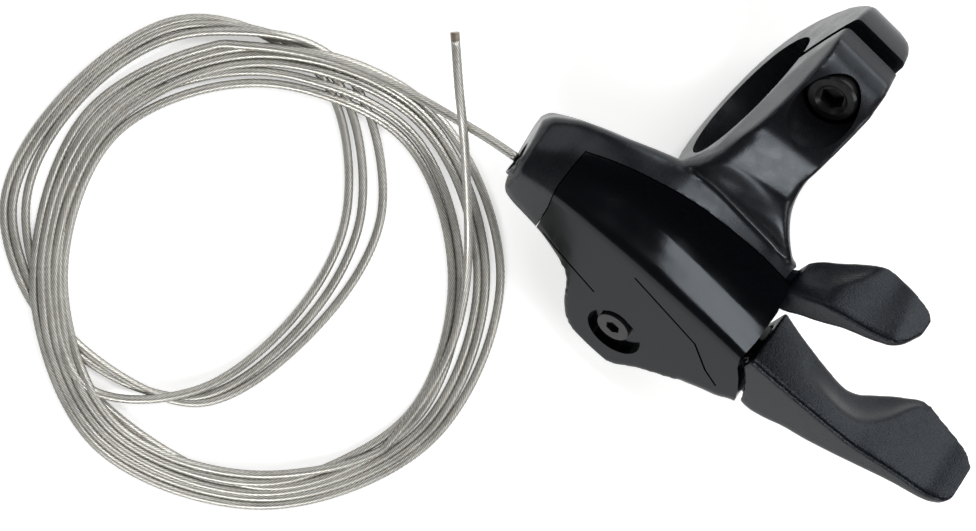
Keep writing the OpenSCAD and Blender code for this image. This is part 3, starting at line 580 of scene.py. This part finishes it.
# ------------------------------------------------------------------ materials
def material(name, color, rough, metal=0.0, coat=0.0, noise=900.0, bump=0.15, vary=0.06,
             rough_vary=0.08, spec=0.5, dist=0.0002):
    mat = bpy.data.materials.new(name)
    mat.use_nodes = True
    nt = mat.node_tree
    bs = nt.nodes["Principled BSDF"]
    tc = nt.nodes.new("ShaderNodeTexCoord")
    no = nt.nodes.new("ShaderNodeTexNoise")
    no.inputs["Scale"].default_value = noise
    no.inputs["Detail"].default_value = 6
    nt.links.new(tc.outputs["Object"], no.inputs["Vector"])
    ramp = nt.nodes.new("ShaderNodeValToRGB")
    c0 = [max(0, c * (1 - vary)) for c in color]
    c1 = [min(1, c * (1 + vary)) for c in color]
    ramp.color_ramp.elements[0].color = (*c0, 1)
    ramp.color_ramp.elements[1].color = (*c1, 1)
    ramp.color_ramp.elements[0].position = 0.3
    ramp.color_ramp.elements[1].position = 0.7
    nt.links.new(no.outputs["Fac"], ramp.inputs["Fac"])
    nt.links.new(ramp.outputs["Color"], bs.inputs["Base Color"])
    big = nt.nodes.new("ShaderNodeTexNoise")
    big.inputs["Scale"].default_value = noise * 0.12
    big.inputs["Detail"].default_value = 3
    nt.links.new(tc.outputs["Object"], big.inputs["Vector"])
    mr = nt.nodes.new("ShaderNodeMapRange")
    mr.inputs["From Min"].default_value = 0.3
    mr.inputs["From Max"].default_value = 0.7
    mr.inputs["To Min"].default_value = max(0.02, rough - rough_vary)
    mr.inputs["To Max"].default_value = min(1, rough + rough_vary)
    nt.links.new(big.outputs["Fac"], mr.inputs["Value"])
    nt.links.new(mr.outputs["Result"], bs.inputs["Roughness"])
    bp_ = nt.nodes.new("ShaderNodeBump")
    bp_.inputs["Strength"].default_value = bump
    bp_.inputs["Distance"].default_value = dist
    nt.links.new(no.outputs["Fac"], bp_.inputs["Height"])
    nt.links.new(bp_.outputs["Normal"], bs.inputs["Normal"])
    bs.inputs["Metallic"].default_value = metal
    bs.inputs["Specular IOR Level"].default_value = spec
    if coat:
        bs.inputs["Coat Weight"].default_value = coat
        bs.inputs["Coat Roughness"].default_value = 0.06
    return mat

MATS = {
    "cast_black": material("cast_black", (0.0075, 0.0078, 0.0095), 0.27, 0.0, 0.0, 2600, 0.10, 0.25, 0.05, 0.38, 0.00006),
    "gloss_black": material("gloss_black", (0.0022, 0.0024, 0.0034), 0.12, 0.0, 0.0, 2200, 0.05, 0.25, 0.03, 0.20, 0.00006),
    "lever_black": material("lever_black", (0.0065, 0.0074, 0.0102), 0.25, 0.0, 0.0, 4200, 0.8, 0.45, 0.04, 0.27, 0.00008),
    "black_steel": material("black_steel", (0.03, 0.03, 0.032), 0.3, 0.6, 0.0, 900, 0.1, 0.1, 0.05),
    "bronze": material("bronze", (0.45, 0.28, 0.12), 0.35, 1.0, 0.0, 700, 0.1, 0.1, 0.06),
    "spool_alloy": material("spool_alloy", (0.5, 0.5, 0.5), 0.35, 1.0, 0.0, 800, 0.1, 0.1, 0.06),
    "washer_plastic": material("washer_plastic", (0.03, 0.03, 0.03), 0.5, 0.0, 0.0, 900, 0.1, 0.1, 0.06),
    "dark_alloy": material("dark_alloy", (0.09, 0.09, 0.095), 0.35, 0.8, 0.0, 900, 0.1, 0.1, 0.06),
    "steel": material("steel", (0.55, 0.55, 0.56), 0.3, 1.0, 0.0, 900, 0.1, 0.08, 0.08),
    "cable_strand": material("cable_strand", (0.98, 0.93, 0.83), 0.40, 0.65, 0.0, 1500, 0.15, 0.14, 0.10),
    "cable_tip": material("cable_tip", (0.33, 0.28, 0.23), 0.45, 0.7, 0.0, 1200, 0.3, 0.25, 0.1),
}
for name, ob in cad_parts.items():
    slot = None
    for s in ob.material_slots:
        if s.material:
            slot = s.material.name.split(".")[0]
    key = slot if slot in MATS else None
    if key is None:
        print("no slot for", name, slot)
        key = "dark_alloy"
    for s in ob.material_slots:
        s.material = MATS[key]
for key in ("cast_black", "gloss_black", "lever_black"):
    MATS[key].node_tree.nodes["Principled BSDF"].inputs["Specular Tint"].default_value = (0.84, 0.92, 1.0, 1)
cord.data.materials.append(MATS["cable_strand"])
# painted shade: the cable base colour is multiplied by the strand's painted shade attribute, darkening the wire valleys
# and the tube's underside
nt = MATS["cable_strand"].node_tree
shade = nt.nodes.new("ShaderNodeAttribute")
shade.attribute_name = "wire"
mul = nt.nodes.new("ShaderNodeVectorMath")
mul.operation = "SCALE"
old = nt.nodes["Principled BSDF"].inputs["Base Color"].links[0].from_socket
nt.links.new(old, mul.inputs[0])
nt.links.new(shade.outputs["Fac"], mul.inputs["Scale"])
nt.links.new(mul.outputs["Vector"], nt.nodes["Principled BSDF"].inputs["Base Color"])
cover.data.materials.append(MATS["gloss_black"])
base.data.materials.append(MATS["cast_black"])
lever.data.materials.append(MATS["lever_black"])
small.data.materials.append(MATS["lever_black"])

# ------------------------------------------------------------------ floor and light
fl = mesh_object("floor", [(-3, -3, FLOOR * MM), (3, -3, FLOOR * MM), (3, 3, FLOOR * MM), (-3, 3, FLOOR * MM)], [(0, 1, 2, 3)], False)
fm = bpy.data.materials.new("floor_white")
fm.use_nodes = True
fb = fm.node_tree.nodes["Principled BSDF"]
fb.inputs["Base Color"].default_value = (0.93, 0.93, 0.925, 1)
fb.inputs["Roughness"].default_value = 0.9
fb.inputs["Specular IOR Level"].default_value = 0.1
fb.inputs["Emission Color"].default_value = (1.0, 1.0, 0.995, 1)
fb.inputs["Emission Strength"].default_value = 0.50
fl.data.materials.append(fm)

world = bpy.data.worlds.new("world")
world.use_nodes = True
wt = world.node_tree
wbg = wt.nodes["Background"]
wtc = wt.nodes.new("ShaderNodeTexCoord")
wsx = wt.nodes.new("ShaderNodeSeparateXYZ")
wrp = wt.nodes.new("ShaderNodeValToRGB")
wt.links.new(wtc.outputs["Generated"], wsx.inputs[0])
wt.links.new(wsx.outputs["Z"], wrp.inputs["Fac"])
els = wrp.color_ramp.elements
els[0].position, els[0].color = 0.0, (0.12, 0.12, 0.12, 1)
els[1].position, els[1].color = 1.0, (0.015, 0.015, 0.015, 1)
e = els.new(0.02); e.color = (0.10, 0.10, 0.10, 1)
e = els.new(0.25); e.color = (0.08, 0.08, 0.08, 1)
e = els.new(0.55); e.color = (0.10, 0.10, 0.105, 1)
e = els.new(0.80); e.color = (0.05, 0.05, 0.05, 1)
wt.links.new(wrp.outputs["Color"], wbg.inputs["Color"])
wbg.inputs["Strength"].default_value = 1.4
scene.world = world
scene.view_settings.view_transform = "Standard"

def area(name, loc, target, size, size_y, power, color=(1, 1, 1)):
    ld = bpy.data.lights.new(name, "AREA")
    ld.shape = "RECTANGLE"
    ld.size, ld.size_y = size, size_y
    ld.energy = power
    ld.color = color
    lo = bpy.data.objects.new(name, ld)
    coll.objects.link(lo)
    lo.location = loc
    lo.rotation_mode = "QUATERNION"
    lo.rotation_quaternion = (Vector(target) - Vector(loc)).to_track_quat("-Z", "Y")
    return lo
area("front", (0.253, -0.568, 0.419), (-0.01, -0.02, 0), 0.36, 0.20, 2.3, (1.0, 1.0, 1.0))
area("left", (-0.75, 0.10, 0.45), (-0.02, -0.04, 0), 0.6, 0.5, 1.1, (1.0, 0.995, 0.985))
area("back", (0.0, 0.80, 0.26), (-0.01, -0.04, 0), 1.0, 0.35, 4.0)
area("top", (-0.05, 0.48, 0.64), (-0.01, -0.02, 0), 0.36, 0.20, 2.0)
area("right", (0.68, 0.08, 0.56), (-0.01, -0.04, 0), 0.45, 0.35, 1.6)
